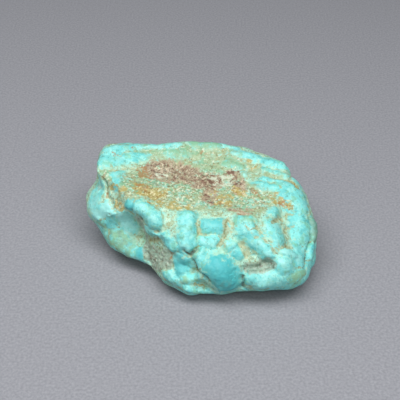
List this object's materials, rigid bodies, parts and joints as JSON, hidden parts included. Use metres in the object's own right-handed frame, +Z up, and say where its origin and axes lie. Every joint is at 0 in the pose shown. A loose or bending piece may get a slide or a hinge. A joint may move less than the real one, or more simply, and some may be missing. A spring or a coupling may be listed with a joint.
{
  "type": "raw turquoise nugget",
  "caption": "Raw tumbled turquoise nugget, a flat-topped lobed stone with brown matrix veins, resting on its worn flat underside.",
  "frame": {"origin": "the middle of the stone's bounding box, on the surface that it rests on", "axes": "+X along the stone's length towards the smooth rounded end, +Y towards its straight back, +Z up"},
  "size_m": [0.0282, 0.0202, 0.0107],
  "materials": {
    "turquoise": "waxy to matt, blue-green stone with tan and brown veins and a rough brown matrix patch on top"
  },
  "bodies": {
    "root": {"turquoise_nugget": "turquoise"}
  },
  "joints": []
}
